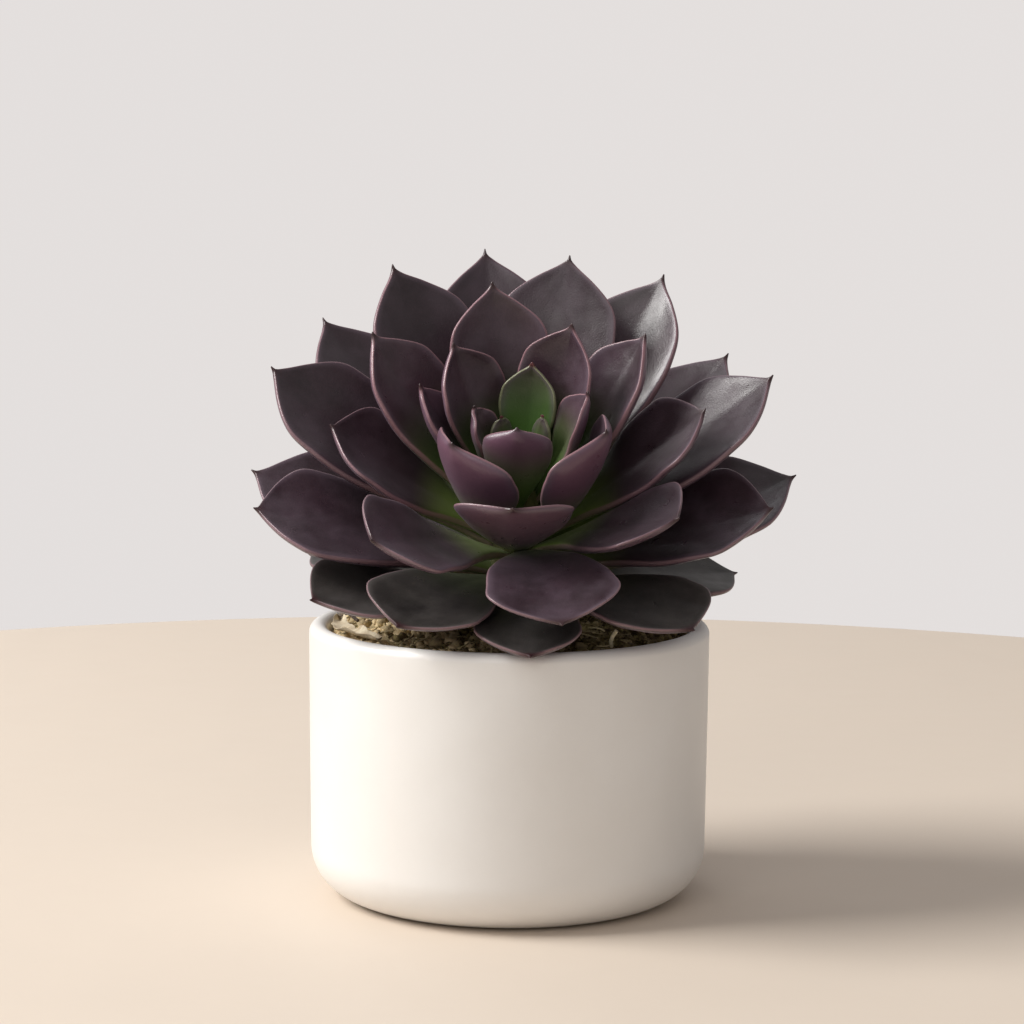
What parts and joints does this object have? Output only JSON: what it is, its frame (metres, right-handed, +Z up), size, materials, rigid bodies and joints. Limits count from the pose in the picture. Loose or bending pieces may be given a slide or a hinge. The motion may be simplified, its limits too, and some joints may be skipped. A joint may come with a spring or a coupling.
{
  "type": "potted succulent",
  "caption": "Rosette succulent with dark, pointed, fleshy leaves on a leaning stem, planted in gritty soil in a plain round white ceramic pot.",
  "frame": {"origin": "centre of the pot's foot, on the surface the pot stands on", "axes": "+Z up along the pot's axis; the plant leans towards -Y, its front; +X is to the right seen from the front"},
  "size_m": [0.1237, 0.1099, 0.144],
  "materials": {
    "pot_ceramic": "satin",
    "soil": "matte",
    "stem": "matte",
    "dark_leaf": "satin",
    "inner_leaf": "satin",
    "heart_leaf": "satin",
    "dry_husk": "matte",
    "dark_stalk": "matte",
    "pale_stalk": "matte"
  },
  "bodies": {
    "root": {"base_leaf_1": "dark_leaf", "base_leaf_2": "dark_leaf", "base_leaf_3": "dark_leaf", "base_leaf_4": "dark_leaf", "base_leaf_5": "dark_leaf", "base_leaf_6": "dark_leaf", "base_leaf_7": "dark_leaf", "base_leaf_8": "dark_leaf", "dark_stalk": "dark_stalk", "dry_husk": "dry_husk", "heart_leaf_1": "heart_leaf", "heart_leaf_2": "heart_leaf", "heart_leaf_3": "heart_leaf", "heart_leaf_4": "heart_leaf", "heart_leaf_5": "heart_leaf", "heart_leaf_6": "heart_leaf", "inner_leaf_1": "inner_leaf", "inner_leaf_2": "inner_leaf", "inner_leaf_3": "inner_leaf", "inner_leaf_4": "inner_leaf", "inner_leaf_5": "inner_leaf", "inner_leaf_6": "inner_leaf", "inner_leaf_7": "inner_leaf", "inner_leaf_8": "inner_leaf", "middle_leaf_1": "dark_leaf", "middle_leaf_2": "dark_leaf", "middle_leaf_3": "dark_leaf", "middle_leaf_4": "dark_leaf", "middle_leaf_5": "dark_leaf", "middle_leaf_6": "dark_leaf", "middle_leaf_7": "dark_leaf", "middle_leaf_8": "dark_leaf", "outer_leaf_1": "dark_leaf", "outer_leaf_10": "dark_leaf", "outer_leaf_11": "dark_leaf", "outer_leaf_2": "dark_leaf", "outer_leaf_3": "dark_leaf", "outer_leaf_4": "dark_leaf", "outer_leaf_5": "dark_leaf", "outer_leaf_6": "dark_leaf", "outer_leaf_7": "dark_leaf", "outer_leaf_8": "dark_leaf", "outer_leaf_9": "dark_leaf", "pale_stalk": "pale_stalk", "pot": "pot_ceramic", "soil": "soil", "stem": "stem", "upper_leaf_1": "dark_leaf", "upper_leaf_2": "dark_leaf", "upper_leaf_3": "dark_leaf", "upper_leaf_4": "dark_leaf", "upper_leaf_5": "dark_leaf"}
  },
  "joints": []
}
